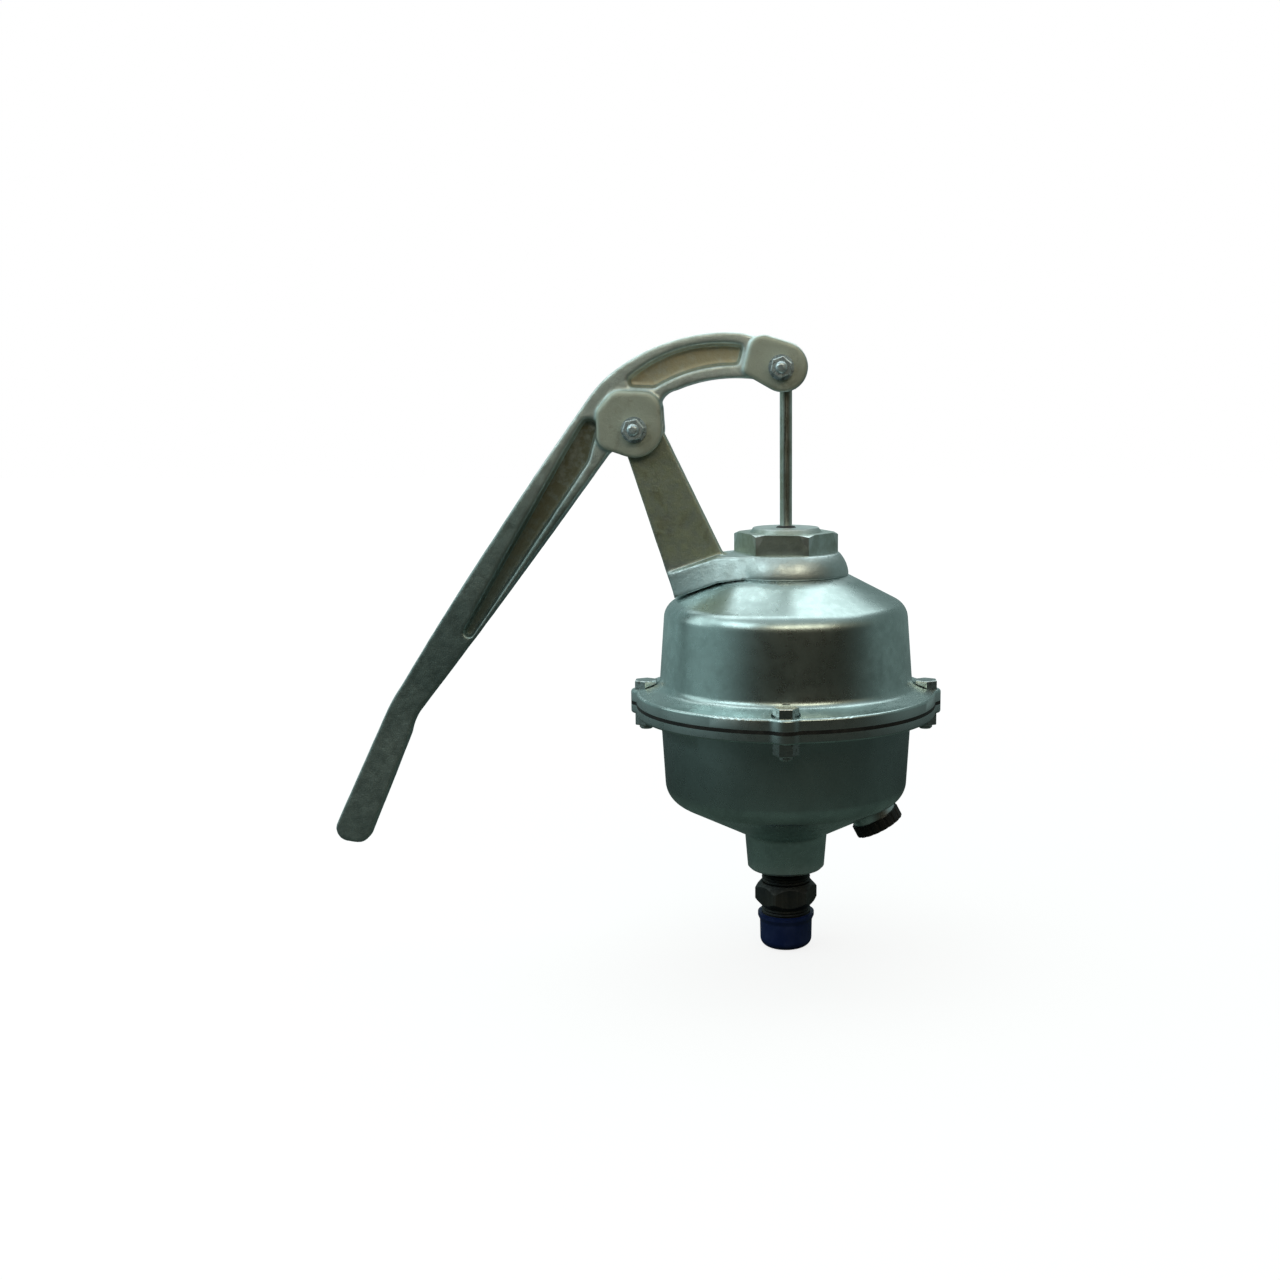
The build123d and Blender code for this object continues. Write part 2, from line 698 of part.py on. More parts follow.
spider_z = 77.0
stem_r = 3.0
stem_bottom_z = 67.6
with BuildPart() as inlet_seat:
    with BuildSketch(Plane.XZ):
        with BuildLine():
            Polyline(
                (11.5, 74.3),
                (14.95, 74.3),
                (14.95, lower_cone(24.0) + inner_drop + 0.05),
                (18.0, lower_cone(24.0) + inner_drop + 0.05),
                (18.0, 86.0),
                (16.0, inlet_seat_z),
                (11.5, inlet_seat_z),
                close=True,
            )
        make_face()
    revolve(axis=Axis.Z)
    with BuildSketch(Plane.XY.offset(spider_z)):
        Circle(5.5)
        with PolarLocations(0, 3):
            Rectangle(12.4, 2.6, align=(Align.MIN, Align.CENTER))
        Circle(stem_r + running_gap, mode=Mode.SUBTRACT)
    extrude(amount=3.0)
save(inlet_seat, "inlet_seat")

disc_bottom_z = inlet_seat_z + 0.1
with BuildPart() as inlet_valve_disc:
    with BuildSketch(Plane.XY.offset(disc_bottom_z)):
        Circle(14.5)
        Circle(stem_r + thread_gap, mode=Mode.SUBTRACT)
    extrude(amount=3.2)
save(inlet_valve_disc, "inlet_valve_disc")

with BuildPart() as inlet_valve_stem:
    with BuildSketch(Plane.XY.offset(stem_bottom_z)):
        Circle(stem_r)
    extrude(amount=disc_bottom_z + 3.2 - stem_bottom_z)
    with BuildSketch(Plane.XY.offset(disc_bottom_z + 3.25)):
        Circle(11)
    extrude(amount=2.2)
    with BuildSketch(Plane.XY.offset(disc_bottom_z + 3.1)):
        Circle(stem_r)
    extrude(amount=0.3)
    with BuildSketch(Plane.XY.offset(disc_bottom_z + 5.45)):
        Circle(4.5)
    extrude(amount=1.8, taper=20)
save(inlet_valve_stem, "inlet_valve_stem")

with BuildPart() as inlet_valve_nut:
    with BuildSketch(Plane.XY.offset(spider_z - inlet_lift - 0.2 - 3.2)):
        RegularPolygon(4.75, 6, major_radius=False)
        Circle(stem_r + thread_gap, mode=Mode.SUBTRACT)
    extrude(amount=3.2)
save(inlet_valve_nut, "inlet_valve_nut")

# ---------------------------------------------------------------- outlet valve on the lower cone

outlet_face = outlet_plane.offset(outlet_boss_height)
disc_start = 0.1
recess_floor = 2.6
with BuildPart() as outlet_valve_disc:
    with BuildSketch(outlet_face.offset(disc_start)):
        Circle(outlet_disc_r)
        with PolarLocations(outlet_disc_r + 1.5, 18):
            Circle(2.0, mode=Mode.SUBTRACT)
    extrude(amount=outlet_disc_thickness)
    with BuildSketch(outlet_face.offset(disc_start + recess_floor)):
        Circle(11.0)
    extrude(amount=outlet_disc_thickness, mode=Mode.SUBTRACT)
    with BuildSketch(outlet_face):
        Circle(2.5 + running_gap)
    extrude(amount=outlet_disc_thickness, mode=Mode.SUBTRACT)
save(outlet_valve_disc, "outlet_valve_disc")

washer_start = disc_start + recess_floor + outlet_lift + 0.1
with BuildPart() as outlet_valve_screw:
    with BuildSketch(outlet_plane.offset(-wall - 3)):
        Circle(2.45)
    extrude(amount=wall + 3 + outlet_boss_height + washer_start + 1.5)
    with BuildSketch(outlet_face.offset(washer_start + 1.25)):
        Circle(4.6)
    extrude(amount=2.4, taper=15)
save(outlet_valve_screw, "outlet_valve_screw")

with BuildPart() as outlet_stop_washer:
    with BuildSketch(outlet_face.offset(washer_start)):
        Circle(7.5)
        Circle(2.5, mode=Mode.SUBTRACT)
    extrude(amount=1.2)
save(outlet_stop_washer, "outlet_stop_washer")
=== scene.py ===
"""Looks of the hand priming pump: the finishes of its castings and fittings, and its studio.

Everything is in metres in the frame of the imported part: +Z up along the pump's axis, the handle
towards -X, and the camera on the -Y side.
"""

from math import cos, pi, radians, sin

import bmesh
import bpy
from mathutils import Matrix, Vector


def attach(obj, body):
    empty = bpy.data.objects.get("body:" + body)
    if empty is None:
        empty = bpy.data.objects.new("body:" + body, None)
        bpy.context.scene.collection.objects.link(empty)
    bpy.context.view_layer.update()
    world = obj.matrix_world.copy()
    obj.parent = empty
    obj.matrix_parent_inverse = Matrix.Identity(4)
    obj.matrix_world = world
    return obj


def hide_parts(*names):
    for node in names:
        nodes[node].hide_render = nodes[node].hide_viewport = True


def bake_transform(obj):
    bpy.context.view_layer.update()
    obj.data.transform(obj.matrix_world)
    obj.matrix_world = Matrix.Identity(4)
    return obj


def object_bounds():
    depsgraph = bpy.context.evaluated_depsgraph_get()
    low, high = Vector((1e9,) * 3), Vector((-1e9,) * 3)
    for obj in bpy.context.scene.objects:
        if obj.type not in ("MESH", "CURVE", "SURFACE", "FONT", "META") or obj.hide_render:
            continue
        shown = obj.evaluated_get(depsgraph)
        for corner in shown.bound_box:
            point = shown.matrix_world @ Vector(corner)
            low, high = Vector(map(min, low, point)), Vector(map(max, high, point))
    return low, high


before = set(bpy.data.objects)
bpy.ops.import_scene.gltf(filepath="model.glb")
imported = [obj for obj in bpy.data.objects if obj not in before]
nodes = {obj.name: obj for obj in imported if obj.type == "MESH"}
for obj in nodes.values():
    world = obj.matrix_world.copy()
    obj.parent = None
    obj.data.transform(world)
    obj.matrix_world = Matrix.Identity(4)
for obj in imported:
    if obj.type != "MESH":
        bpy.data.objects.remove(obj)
cad_low, cad_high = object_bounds()


# ------------------------------------------------------------ shader helpers


def put(tree, socket, value):
    """Link an input socket to the output socket value, or set it to the plain value."""
    if isinstance(value, bpy.types.NodeSocket):
        tree.links.new(value, socket)
    else:
        socket.default_value = value


def add_node(tree, kind, settings=None, **inputs):
    """Add a shader node. Inputs are numbers, colours or other nodes' output sockets."""
    made = tree.nodes.new("ShaderNode" + kind)
    for key, value in (settings or {}).items():
        setattr(made, key, value)
    for key, value in inputs.items():
        put(tree, made.inputs[key.replace("_", " ")], value)
    return made


def rgba(colour):
    return (*colour, 1.0)


def darker(colour, share):
    return tuple(share * channel for channel in colour)


def noise(tree, where, scale, detail, roughness, distortion=0.0):
    made = add_node(tree, "TexNoise", Vector=where, Scale=scale, Detail=detail,
                    Roughness=roughness, Distortion=distortion)
    return made.outputs["Fac"]


def remap(tree, value, source, target=(0.0, 1.0)):
    """Stretch value from the source range to the target range, clamped and smooth."""
    made = add_node(tree, "MapRange", {"interpolation_type": "SMOOTHSTEP"}, Value=value,
                    From_Min=source[0], From_Max=source[1],
                    To_Min=target[0], To_Max=target[1])
    return made.outputs["Result"]


def calc(tree, operation, first, second=0.0):
    made = add_node(tree, "Math", {"operation": operation})
    put(tree, made.inputs[0], first)
    put(tree, made.inputs[1], second)
    return made.outputs[0]


def product(tree, first, *others):
    for other in others:
        first = calc(tree, "MULTIPLY", first, other)
    return first


def blend_colour(tree, factor, first, second):
    """Colour that goes from first to second with factor."""
    made = add_node(tree, "Mix", {"data_type": "RGBA"})
    put(tree, made.inputs[0], factor)
    put(tree, made.inputs[6], rgba(first) if isinstance(first, tuple) else first)
    put(tree, made.inputs[7], rgba(second) if isinstance(second, tuple) else second)
    return made.outputs[2]


def bump(tree, height, depth, strength, under=None):
    """Bumps of the given depth in metres, laid over the bumps in under."""
    made = add_node(tree, "Bump", Height=height, Distance=depth, Strength=strength)
    if under is not None:
        put(tree, made.inputs["Normal"], under)
    return made.outputs["Normal"]


def pointedness(tree):
    """Above a half on outer edges, below it in inner corners."""
    return add_node(tree, "NewGeometry").outputs["Pointiness"]


def join_shaders(tree, kind, *sources):
    """Shader from the given sockets, in the order of the node's inputs."""
    made = add_node(tree, kind)
    for socket, source in zip(made.inputs, sources):
        tree.links.new(source, socket)
    return made.outputs[0]


def start_material(name):
    """New material, its tree and the piece's own coordinates in metres."""
    material = bpy.data.materials.new(name)
    material.use_nodes = True
    tree = material.node_tree
    return material, tree, add_node(tree, "TexCoord").outputs["Object"]


def set_surface(tree, colour, roughness, normal, metallic=0.0):
    shader = tree.nodes["Principled BSDF"]
    put(tree, shader.inputs["Metallic"], metallic)
    put(tree, shader.inputs["Base Color"], colour)
    put(tree, shader.inputs["Roughness"], roughness)
    put(tree, shader.inputs["Normal"], normal)


# ------------------------------------------------------------ materials

rubbed_edge = (0.80, 0.86, 0.86)  # bare aluminium on a casting's outer edges
soil_dulling = 0.75               # how much of the metallic look soil takes away
grain_dulling = 0.25              # how much rougher the dark grains are


def cast_metal(name, light, dark, rough, uneven, relief, patina=None):
    """Sand-cast aluminium: mottled grey skin, grain, and edges rubbed bright.

    patina changes the colour and says where soil covers the metal.
    """
    material, tree, where = start_material(name)
    blotch = noise(tree, where, scale=22, detail=4, roughness=0.6, distortion=0.4)
    mottle = noise(tree, where, scale=150, detail=5, roughness=0.62)
    grains = noise(tree, where, scale=1100, detail=3, roughness=0.6)
    pits = noise(tree, where, scale=420, detail=2, roughness=0.5)
    pointed = pointedness(tree)
    worn = remap(tree, pointed, (0.515, 0.56))
    # inner corners, which are darkened below as painted shade
    inner_corner_shade = remap(tree, pointed, (0.49, 0.44))
    shade = calc(tree, "ADD", product(tree, blotch, 0.6), product(tree, mottle, 0.4))
    colour = blend_colour(tree, remap(tree, shade, (0.36, 0.64)), light, dark)
    speckle = remap(tree, grains, (0.6, 0.72), (0.0, 0.35 * relief))
    colour = blend_colour(tree, speckle, colour, darker(dark, 0.5))
    # painted shade: the metal is darkened in its inner corners
    colour = blend_colour(tree, product(tree, inner_corner_shade, 0.7), colour, darker(dark, 0.35))
    metallic = 1.0
    if patina is not None:
        colour, cover = patina(tree, where, mottle, colour)
        metallic = calc(tree, "SUBTRACT", 1.0, product(tree, cover, soil_dulling))
    colour = blend_colour(tree, product(tree, worn, 0.6), colour, rubbed_edge)
    roughness = calc(tree, "ADD",
                     remap(tree, mottle, (0.3, 0.7), (rough - uneven, rough + uneven)),
                     product(tree, speckle, grain_dulling))
    normal = bump(tree, mottle, depth=0.0006, strength=0.3 * relief)
    normal = bump(tree, pits, depth=0.0003, strength=0.45 * relief, under=normal)
    normal = bump(tree, grains, depth=0.00016, strength=0.55 * relief, under=normal)
    set_surface(tree, colour, roughness, normal, metallic)
    return material


def plated_steel(name, colour, rough, dulling, metallic):
    """Zinc-plated fastener: bright crystalline plating with dull spots."""
    material, tree, where = start_material(name)
    crystals = add_node(tree, "TexVoronoi", Vector=where, Scale=900.0).outputs["Color"]
    flake = add_node(tree, "SeparateColor", Color=crystals).outputs[0]
    dull = noise(tree, where, scale=260, detail=4, roughness=0.6)
    fine = noise(tree, where, scale=2600, detail=2, roughness=0.5)
    tone = blend_colour(tree, remap(tree, flake, (0.2, 0.9)), colour, darker(colour, 0.78))
    spots = remap(tree, dull, (0.52, 0.66), (0.0, dulling))
    tone = blend_colour(tree, spots, tone, (0.20, 0.21, 0.19))
    roughness = remap(tree, dull, (0.35, 0.65), (rough - 0.08, rough + 0.16))
    normal = bump(tree, dull, depth=0.0001, strength=0.2)
    normal = bump(tree, fine, depth=0.00004, strength=0.3, under=normal)
    set_surface(tree, tone, roughness, normal, metallic)
    return material


def drawn_rod(name):
    """Cold-drawn steel rod: faint lengthwise drawing lines and oily patches."""
    material, tree, where = start_material(name)
    along_rod = add_node(tree, "Mapping", Vector=where, Scale=(1.0, 1.0, 0.03))
    lines = noise(tree, along_rod.outputs["Vector"], scale=1900, detail=3, roughness=0.6)
    patch = noise(tree, where, scale=70, detail=4, roughness=0.6)
    tone = blend_colour(tree, remap(tree, patch, (0.36, 0.70)),
                        (0.62, 0.68, 0.62), (0.46, 0.48, 0.40))
    tone = blend_colour(tree, remap(tree, lines, (0.55, 0.7), (0.0, 0.3)),
                        tone, (0.26, 0.27, 0.23))
    roughness = remap(tree, lines, (0.3, 0.7), (0.24, 0.42))
    normal = bump(tree, lines, depth=0.00006, strength=0.5)
    set_surface(tree, tone, roughness, normal, metallic=1.0)
    return material


def dark_iron(name):
    """Black malleable iron: rough oily skin with a few rubbed highlights."""
    material, tree, where = start_material(name)
    skin = noise(tree, where, scale=500, detail=5, roughness=0.65)
    patch = noise(tree, where, scale=60, detail=3, roughness=0.5)
    tone = blend_colour(tree, remap(tree, patch, (0.4, 0.65)),
                        (0.016, 0.020, 0.022), (0.034, 0.033, 0.028))
    rubbed = remap(tree, pointedness(tree), (0.52, 0.60), (0.0, 0.55))
    tone = blend_colour(tree, rubbed, tone, (0.16, 0.17, 0.17))
    roughness = remap(tree, skin, (0.3, 0.7), (0.34, 0.62))
    normal = bump(tree, skin, depth=0.0003, strength=0.6)
    set_surface(tree, tone, roughness, normal, metallic=0.55)
    return material


def moulded(name, colour, dusty, rough):
    """Moulded rubber or plastic: a thin film of dust and a fine matt skin."""
    material, tree, where = start_material(name)
    skin = noise(tree, where, scale=1500, detail=3, roughness=0.6)
    dust = noise(tree, where, scale=95, detail=5, roughness=0.65)
    tone = blend_colour(tree, remap(tree, dust, (0.42, 0.68)), colour, dusty)
    roughness = remap(tree, dust, (0.35, 0.7), (rough, rough + 0.18))
    set_surface(tree, tone, roughness, bump(tree, skin, depth=0.00012, strength=0.6))
    return material


def brass(name):
    """Turned brass with fine tool rings around the pump's axis."""
    material, tree, where = start_material(name)
    tool_rings = add_node(tree, "TexWave", {"wave_type": "RINGS", "rings_direction": "Z"},
                          Vector=where, Scale=520.0, Distortion=1.5, Detail=2.0)
    tarnish = noise(tree, where, scale=120, detail=4, roughness=0.6)
    tone = blend_colour(tree, remap(tree, tarnish, (0.4, 0.68)),
                        (0.60, 0.42, 0.17), (0.22, 0.16, 0.08))
    roughness = remap(tree, tarnish, (0.35, 0.7), (0.26, 0.48))
    normal = bump(tree, tool_rings.outputs["Fac"], depth=0.00004, strength=0.4)
    set_surface(tree, tone, roughness, normal, metallic=1.0)
    return material


# ------------------------------------------------------------ soil on the lever and its bracket

# Each range is where one look fades into the next, along one axis of the part.
darker_straight_z = (0.350, 0.285)         # down the lever's straight part, which is darker
grip_z = (0.140, 0.165)            # the grip is a little less dark
fork_side_y = (0.0122, 0.0130)     # outer faces of the forks
pocket_floor_y = (0.0056, 0.0046)  # faces of the web between the pockets
arch_x = (-0.122, -0.100)          # right of it is the arch's pocket, left the straight one
pocket_end_z = (0.300, 0.235)      # the straight pocket is greyer towards its lower end
arm_side_y = (0.0080, 0.0074)      # within the arm's thickness; the collar is wider
arm_root_z = (0.255, 0.272)        # the arm rises out of the foot here
arm_root_x = (-0.038, -0.041)      # right of it is the collar
flat_on = (0.6, 0.85)              # how much a face looks sideways, from 0 to 1

straight_part_tone = (0.16, 0.245, 0.235)
fork_face, fork_stain = (0.50, 0.54, 0.44), (0.25, 0.23, 0.15)
arch_soil = (0.56, 0.51, 0.35)
straight_soil, straight_end_soil = (0.15, 0.15, 0.095), (0.13, 0.165, 0.14)
arm_face, arm_stain = (0.38, 0.42, 0.295), (0.19, 0.18, 0.105)


def sideways(tree, vector):
    """Size of the vector's part across the lever's plane."""
    return calc(tree, "ABSOLUTE", add_node(tree, "SeparateXYZ", Vector=vector).outputs["Y"])


def lever_patina(tree, where, mottle, colour):
    """Darker skin along the straight part, worn forks, and soil in the pockets."""
    place = add_node(tree, "SeparateXYZ", Vector=where).outputs
    aside = sideways(tree, where)
    facing = sideways(tree, add_node(tree, "NewGeometry").outputs["Normal"])

    # the straight part is darkened between the heights given above, less so at the grip
    straight_darkening = product(tree, remap(tree, place["Z"], darker_straight_z),
                      remap(tree, place["Z"], grip_z, (0.75, 1.0)))
    colour = blend_colour(tree, product(tree, straight_darkening, 0.7), colour, straight_part_tone)

    rubbed = product(tree, remap(tree, aside, fork_side_y), 0.8)
    stain_noise = noise(tree, where, scale=90, detail=5, roughness=0.7)
    stain = remap(tree, stain_noise, (0.52, 0.70), (0.0, 0.55))
    colour = blend_colour(tree, rubbed, colour,
                          blend_colour(tree, stain, fork_face, fork_stain))

    patchy = remap(tree, mottle, (0.3, 0.6), (0.65, 1.0))
    floor_soil = product(tree, remap(tree, aside, pocket_floor_y), patchy,
                         remap(tree, facing, flat_on))
    in_straight = blend_colour(tree, remap(tree, place["Z"], pocket_end_z),
                               straight_soil, straight_end_soil)
    soil = blend_colour(tree, remap(tree, place["X"], arch_x), in_straight, arch_soil)
    colour = blend_colour(tree, floor_soil, colour, soil)
    return colour, calc(tree, "MAXIMUM", floor_soil, rubbed)


def arm_patina(tree, where, mottle, colour):
    """The bracket's arm is browner than its collar and foot."""
    place = add_node(tree, "SeparateXYZ", Vector=where).outputs
    patchy = product(tree, remap(tree, sideways(tree, where), arm_side_y),
                     remap(tree, place["Z"], arm_root_z),
                     remap(tree, place["X"], arm_root_x),
                     remap(tree, mottle, (0.3, 0.65), (0.65, 1.0)))
    stain_noise = noise(tree, where, scale=75, detail=5, roughness=0.7, distortion=0.6)
    stain = remap(tree, stain_noise, (0.50, 0.70), (0.0, 0.6))
    colour = blend_colour(tree, patchy, colour,
                          blend_colour(tree, stain, arm_face, arm_stain))
    return colour, product(tree, patchy, 0.7)


# ------------------------------------------------------------ finish of each node

bowl_skin = cast_metal("cast_aluminium_bowl", (0.60, 0.72, 0.71), (0.45, 0.55, 0.54),
                       rough=0.29, uneven=0.03, relief=0.12)
lever_skin = cast_metal("cast_aluminium_lever", (0.78, 0.87, 0.85), (0.60, 0.68, 0.64),
                        rough=0.50, uneven=0.08, relief=1.1, patina=lever_patina)
bracket_skin = cast_metal("cast_aluminium_bracket", (0.72, 0.82, 0.82), (0.56, 0.64, 0.63),
                          rough=0.40, uneven=0.07, relief=1.0, patina=arm_patina)
gland_skin = cast_metal("cast_aluminium_gland", (0.64, 0.73, 0.70), (0.46, 0.52, 0.46),
                        rough=0.40, uneven=0.06, relief=0.7)
pivot_zinc = plated_steel("zinc_plating", (0.72, 0.84, 0.88),
                          rough=0.24, dulling=0.25, metallic=0.6)
flange_zinc = plated_steel("dull_zinc_plating", (0.78, 0.83, 0.82),
                           rough=0.14, dulling=0.75, metallic=1.0)
rod_metal = drawn_rod("drawn_steel")
iron = dark_iron("black_iron")
rubber = moulded("black_rubber", (0.012, 0.012, 0.012), (0.030, 0.028, 0.024), rough=0.50)
blue = moulded("blue_plastic", (0.004, 0.014, 0.085), (0.012, 0.026, 0.11), rough=0.38)
nylon = moulded("white_nylon", (0.62, 0.60, 0.54), (0.50, 0.47, 0.40), rough=0.42)
turned_brass = brass("turned_brass")

finish_of = {
    bowl_skin: ["lower_bowl", "upper_bowl"],
    lever_skin: ["lever"],
    bracket_skin: ["lever_bracket"],
    gland_skin: ["gland_nut"],
    flange_zinc: ["flange_bolts", "flange_nuts"],
    pivot_zinc: ["fulcrum_bolt", "fulcrum_nut", "fulcrum_washers",
                 "rod_pin_bolt", "rod_pin_nut", "rod_pin_washers", "upper_diaphragm_plate",
                 "lower_diaphragm_plate", "upper_rod_nut", "lower_rod_nut", "inlet_valve_nut",
                 "outlet_valve_screw", "outlet_stop_washer"],
    rod_metal: ["piston_rod"],
    iron: ["hex_nipple"],
    rubber: ["diaphragm", "outlet_valve_disc", "inlet_valve_disc", "rod_wiper"],
    blue: ["thread_cap"],
    nylon: ["rod_guide"],
    turned_brass: ["inlet_seat", "inlet_valve_stem"],
}
for material, names in finish_of.items():
    for name in names:
        nodes[name].data.materials.clear()
        nodes[name].data.materials.append(material)


# ------------------------------------------------------------ rounded, slightly uneven castings

waves = bpy.data.textures.new("casting_waviness", "CLOUDS")
waves.noise_scale = 0.018
waves.noise_depth = 2


def soften(name, voxel, smoothing, wave):
    """Round a casting's edges and make its faces slightly uneven, as sand moulds leave them."""
    piece = nodes[name]
    remesh = piece.modifiers.new("rounded", "REMESH")
    remesh.mode = "VOXEL"
    remesh.voxel_size = voxel
    remesh.use_smooth_shade = True
    smooth = piece.modifiers.new("smoothed", "SMOOTH")
    smooth.factor = 0.5
    smooth.iterations = smoothing
    displace = piece.modifiers.new("waviness", "DISPLACE")
    displace.texture = waves
    displace.texture_coords = "LOCAL"
    displace.mid_level = 0.5
    displace.strength = wave


soften("lever", voxel=0.0008, smoothing=14, wave=0.0004)
soften("lever_bracket", voxel=0.0007, smoothing=14, wave=0.0004)


# ------------------------------------------------------------ bowls with unbroken skins

same_corner = 0.00001             # corners of neighbouring faces lie closer than this
crease_angle = radians(32.0)      # steeper edges stay sharp


def add_object(name, data):
    made = bpy.data.objects.new(name, data)
    bpy.context.scene.collection.objects.link(made)
    return made


def copy_of(node_name, name):
    """Copy of a CAD node, with a mesh of its own, where the node is."""
    made = add_object(name, nodes[node_name].data.copy())
    made.matrix_world = nodes[node_name].matrix_world.copy()
    return made


def joined_skin(name):
    """Copy of a turned casting whose skin shades smoothly across the seams of its faces."""
    skin = copy_of(name, name + "_skin")
    shape = bmesh.new()
    shape.from_mesh(skin.data)
    bmesh.ops.remove_doubles(shape, verts=shape.verts[:], dist=same_corner)
    shape.to_mesh(skin.data)
    shape.free()
    custom = skin.data.attributes.get("custom_normal")
    if custom is not None:
        skin.data.attributes.remove(custom)
    skin.data.shade_smooth()
    skin.data.set_sharp_from_angle(angle=crease_angle)
    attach(skin, "pump_body")
    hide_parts(name)


joined_skin("upper_bowl")
joined_skin("lower_bowl")


# ------------------------------------------------------------ diaphragm cut into rings where the rubber bends

clamped_z = 0.172                 # top of the rim held between the bowls
carried_z = 0.2040                # underside of the middle that the rod carries
rings = 14                        # cuts between the two, where the rubber can bend

flexing = copy_of("diaphragm", "flexing_diaphragm")
bpy.context.view_layer.update()
rubber_mesh = bmesh.new()
rubber_mesh.from_mesh(flexing.data)
rubber_mesh.transform(flexing.matrix_world)
flexing.matrix_world.identity()
for ring in range(rings + 1):
    ring_z = clamped_z + (carried_z - clamped_z) * ring / rings
    everything = rubber_mesh.verts[:] + rubber_mesh.edges[:] + rubber_mesh.faces[:]
    bmesh.ops.bisect_plane(rubber_mesh, geom=everything,
                           plane_co=(0, 0, ring_z), plane_no=(0, 0, 1))
rubber_mesh.to_mesh(flexing.data)
rubber_mesh.free()
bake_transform(flexing)
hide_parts("diaphragm")


# ------------------------------------------------------------ lights

aim = Vector((0.0, 0.0, 0.21))    # middle of the pump


def area_light(name, place, width, height, radiance, colour):
    """Soft panel of the given radiance that faces the pump."""
    light = bpy.data.lights.new(name, "AREA")
    light.shape = "RECTANGLE"
    light.size = width
    light.size_y = height
    light.energy = radiance * pi * width * height
    light.color = colour
    lamp = add_object(name, light)
    lamp.location = place
    lamp.rotation_euler = (aim - Vector(place)).to_track_quat("-Z", "Y").to_euler()


area_light("overhead", (-0.05, 0.45, 1.35), width=1.9, height=1.1,
           radiance=1.3, colour=(0.90, 1.0, 1.0))
area_light("left_panel", (-1.3, 0.1, 0.9), width=0.9, height=0.9,
           radiance=0.9, colour=(0.86, 1.0, 0.99))
area_light("cool_front", (-0.95, -0.80, 1.15), width=0.8, height=0.6,
           radiance=2.0, colour=(0.84, 0.98, 1.0))
area_light("warm_front", (0.30, -1.15, 1.10), width=1.3, height=0.45,
           radiance=1.8, colour=(1.0, 0.90, 0.70))


# ------------------------------------------------------------ room that the metal mirrors

left_wall, right_wall = (0.235, 0.335, 0.33), (0.155, 0.205, 0.195)
front_low, front_high = (0.016, 0.013, 0.008), (0.27, 0.22, 0.145)
ceiling = (0.45, 0.52, 0.52)
white = (1.0, 1.0, 1.0)
front_slant = 0.26                # how far the dark front leans towards the right wall


def room_colour(tree, toward):
    """Pale walls at the sides and back, a dark front, and a bright ceiling."""
    split = add_node(tree, "SeparateXYZ", Vector=toward).outputs
    ahead = calc(tree, "SUBTRACT", product(tree, split["X"], front_slant), split["Y"])
    walls = blend_colour(tree, remap(tree, split["X"], (-0.8, 0.8)), left_wall, right_wall)
    front = blend_colour(tree, remap(tree, split["Z"], (0.16, 0.55)), front_low, front_high)
    room = blend_colour(tree, remap(tree, ahead, (0.90, 0.05)), front, walls)
    return blend_colour(tree, remap(tree, split["Z"], (0.55, 0.95)), room, ceiling)


def camera_sees(tree):
    return add_node(tree, "LightPath").outputs["Is Camera Ray"]


world = bpy.data.worlds.new("studio")
bpy.context.scene.world = world
world.use_nodes = True
sky = world.node_tree
sky.nodes.clear()
room = room_colour(sky, add_node(sky, "TexCoord").outputs["Generated"])
backdrop = blend_colour(sky, camera_sees(sky), room, white)
lit = add_node(sky, "Background", Color=backdrop)
sky.links.new(lit.outputs[0], add_node(sky, "OutputWorld").inputs["Surface"])


# ------------------------------------------------------------ floor

floor_half = 6.0                  # half its side
floor_z = cad_low.z - 0.0005      # just under the lowest piece
shadow_grey = (0.22, 0.22, 0.22)  # of the white paper that the camera sees
near_pump, away_from_pump = (0.09, 0.115, 0.10), (0.030, 0.036, 0.033)


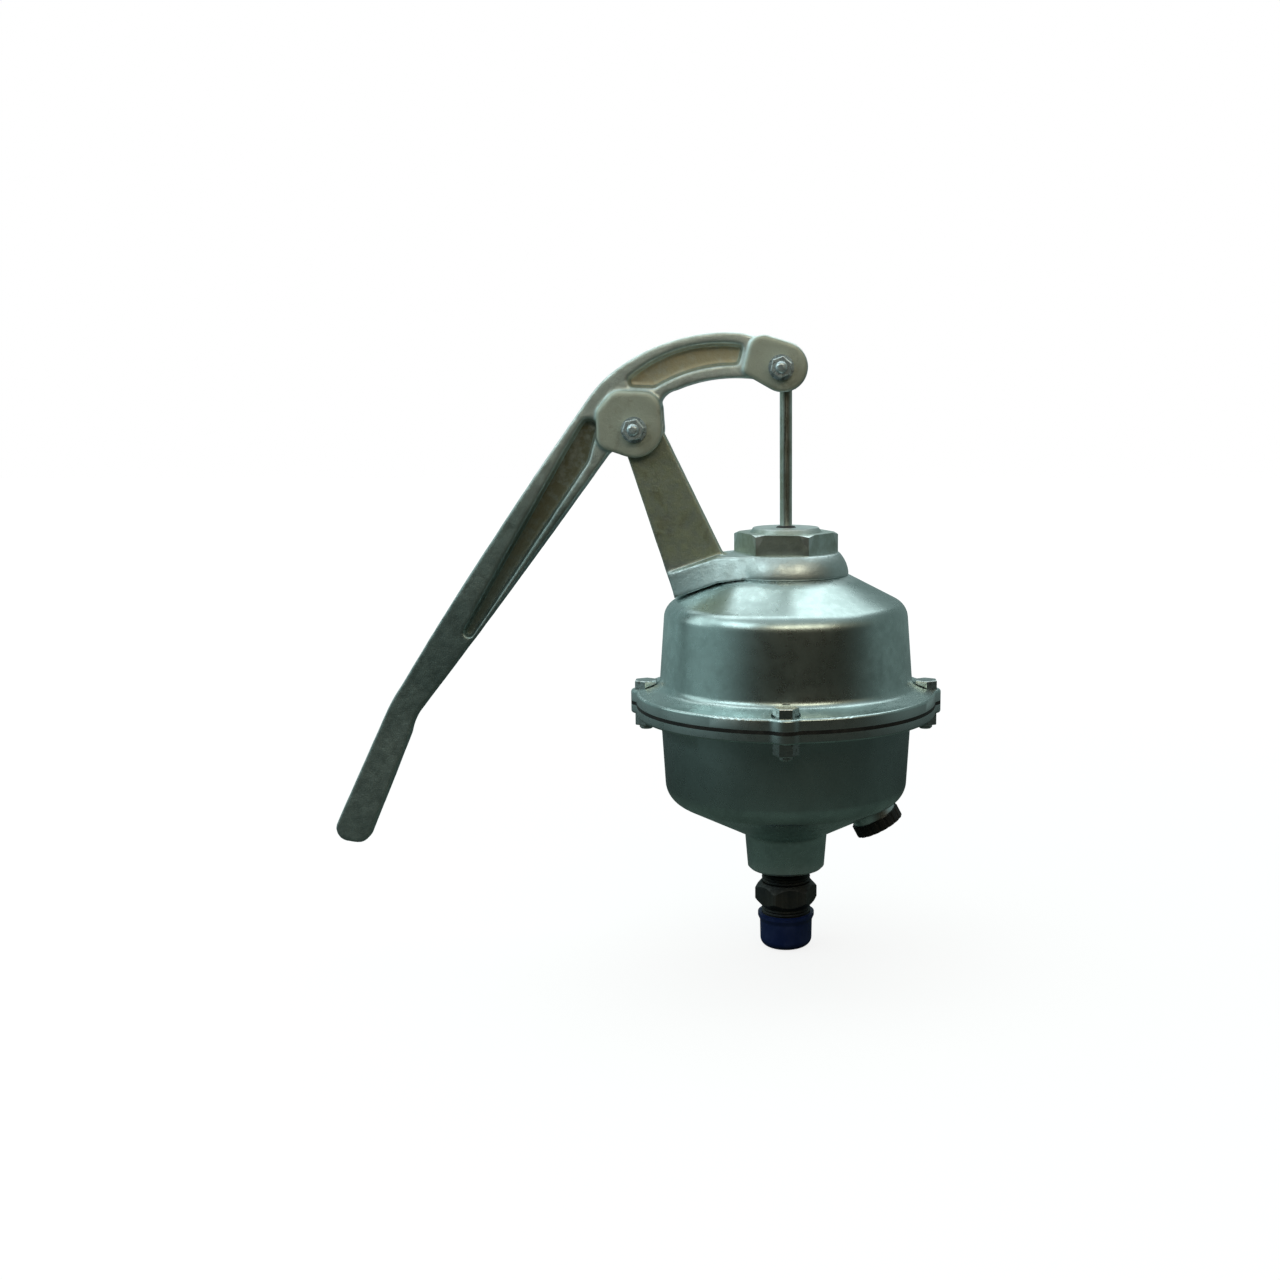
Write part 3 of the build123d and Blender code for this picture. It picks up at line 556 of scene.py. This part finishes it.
def floor_paper():
    """White paper to the camera. To the metal it is dark near the pump, and the room beyond."""
    paper = bpy.data.materials.new("pale_paper")
    paper.use_nodes = True
    tree = paper.node_tree
    tree.nodes.clear()
    place = add_node(tree, "TexCoord").outputs["Object"]
    distance = add_node(tree, "VectorMath", {"operation": "LENGTH"},
                        Vector=place).outputs["Value"]
    outward = add_node(tree, "VectorMath", {"operation": "NORMALIZE"},
                       Vector=place).outputs["Vector"]

    matt = add_node(tree, "BsdfDiffuse", Color=rgba(shadow_grey))
    glow = add_node(tree, "Emission", Color=rgba(white),
                    Strength=remap(tree, distance, (0.3, 2.5), (0.84, 1.0)))
    to_camera = join_shaders(tree, "AddShader", matt.outputs[0], glow.outputs[0])

    near_colour = blend_colour(tree, remap(tree, distance, (0.10, 0.55)),
                               near_pump, away_from_pump)
    near = add_node(tree, "BsdfDiffuse", Color=near_colour)
    mirrored = add_node(tree, "Emission", Color=room_colour(tree, outward),
                        Strength=remap(tree, distance, (0.35, 2.0)))
    to_metal = join_shaders(tree, "AddShader", near.outputs[0], mirrored.outputs[0])

    both = join_shaders(tree, "MixShader", camera_sees(tree), to_metal, to_camera)
    tree.links.new(both, add_node(tree, "OutputMaterial").inputs["Surface"])
    return paper


floor_mesh = bpy.data.meshes.new("floor")
floor_mesh.from_pydata([(-floor_half, -floor_half, floor_z), (floor_half, -floor_half, floor_z),
                        (floor_half, floor_half, floor_z), (-floor_half, floor_half, floor_z)],
                       [], [(0, 1, 2, 3)])
floor = add_object("floor", floor_mesh)
floor.data.materials.append(floor_paper())


# ------------------------------------------------------------ camera

bpy.context.scene.view_settings.view_transform = "Standard"

view_pitch = radians(9.0)         # how far the camera looks down
view_distance = 1.05
view_centre_z = 0.212
camera_data = bpy.data.cameras.new("camera")
camera_data.sensor_width = 36.0   # in mm, as the focal length is
camera_data.lens = 43.75
camera_data.shift_x = -0.114      # share of the picture's width that the pump moves right
camera = add_object("camera", camera_data)
camera.location = (0.0, -view_distance * cos(view_pitch),
                   view_centre_z + view_distance * sin(view_pitch))
camera.rotation_euler = (pi / 2 - view_pitch, 0.0, 0.0)
bpy.context.scene.camera = camera
